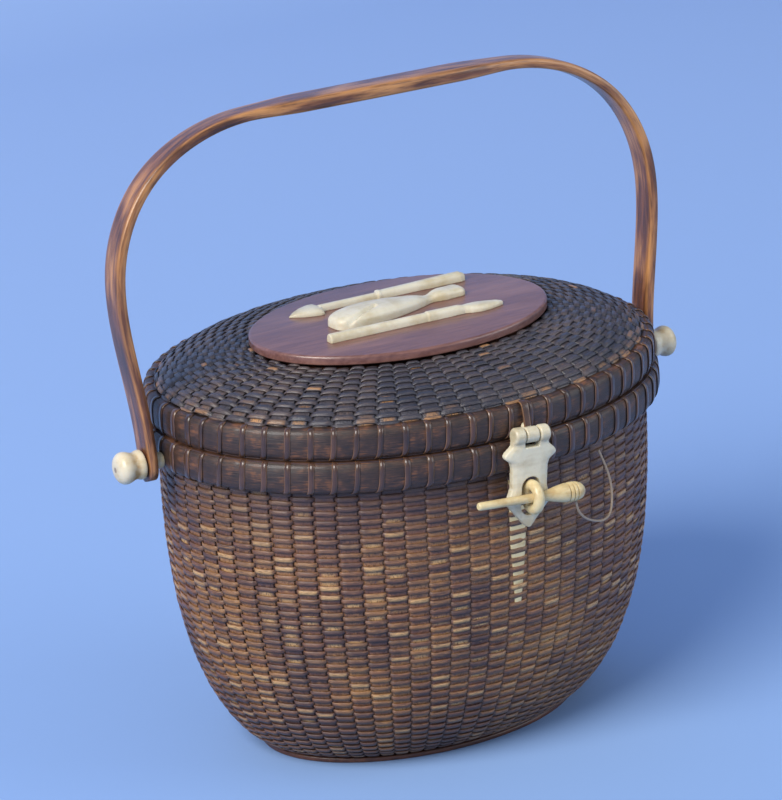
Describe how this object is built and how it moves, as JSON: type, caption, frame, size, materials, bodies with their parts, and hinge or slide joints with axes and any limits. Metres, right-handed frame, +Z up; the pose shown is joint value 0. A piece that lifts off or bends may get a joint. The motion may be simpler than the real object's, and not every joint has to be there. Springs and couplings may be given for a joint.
{
  "type": "basket purse",
  "caption": "Oval woven basket purse with a hinged lid, a hasp closed by a peg through a staple, and a bent wood handle swinging on side knobs.",
  "frame": {"origin": "middle of the base plate's underside", "axes": "+Z up, X along the long axis through both knobs, -Y towards the hasp"},
  "size_m": [0.276, 0.2029, 0.2853],
  "materials": {
    "cane_weave": "aged varnished cane over oak staves",
    "dark_cane_weave": "dark aged varnished cane",
    "rim_wood": "dark glossy varnished wood",
    "rim_cane": "dark varnished cane",
    "base_wood": "dark varnished wood",
    "plaque_wood": "polished reddish brown wood",
    "handle_wood": "polished streaked wood",
    "bone": "polished bone, satin",
    "carving_bone": "carved bone, satin",
    "peg_bone": "yellowed bone, satin",
    "brass": "aged brass",
    "tie_cane": "tan cane",
    "cord": "thin waxed thread"
  },
  "bodies": {
    "basket": {"base_plate": "base_wood", "body_weave": "cane_weave", "body_rim_outer": "rim_wood", "body_rim_inner": "rim_wood", "body_rim_cap": "rim_cane", "hinge_leaf_body": "bone", "hinge_pin": "brass", "hinge_rivets_body": "brass", "staple": "peg_bone", "peg_cord": "cord", "handle_pin_l": "brass", "handle_pin_r": "brass", "washer_l": "bone", "washer_r": "bone", "knob_l": "bone", "knob_r": "bone"},
    "lid": {"lid_weave": "dark_cane_weave", "lid_rim_outer": "rim_wood", "lid_rim_inner": "rim_wood", "lid_rim_cap": "rim_cane", "lid_board": "base_wood", "lid_plaque": "plaque_wood", "carved_whale": "carving_bone", "carved_harpoon": "carving_bone", "carved_lance": "carving_bone", "hinge_leaf_lid": "bone", "hinge_rivets_lid": "brass", "hasp_leaf": "bone", "hasp_tie": "tie_cane"},
    "hasp": {"hasp": "bone", "hasp_pin": "brass"},
    "peg": {"peg": "peg_bone"},
    "handle": {"handle": "handle_wood"}
  },
  "joints": [
    {"name": "lid_hinge", "type": "hinge", "parent": "basket", "child": "lid", "pos_m": [0, 0.0947, 0.15115], "axis": [-1, 0, 0], "range_deg": [0, 105]},
    {"name": "hasp_hinge", "type": "hinge", "parent": "lid", "child": "hasp", "pos_m": [0.0062, -0.0949, 0.1536], "axis": [-0.9969, 0, 0.0785], "range_deg": [0, 104]},
    {"name": "peg_slide", "type": "slide", "parent": "basket", "child": "peg", "axis": [0.9969, 0, -0.0785], "range_m": [0, 0.04]},
    {"name": "handle_swing", "type": "hinge", "parent": "basket", "child": "handle", "pos_m": [0, 0, 0.1416], "axis": [-1, 0, 0], "range_deg": [-120, 120]}
  ]
}
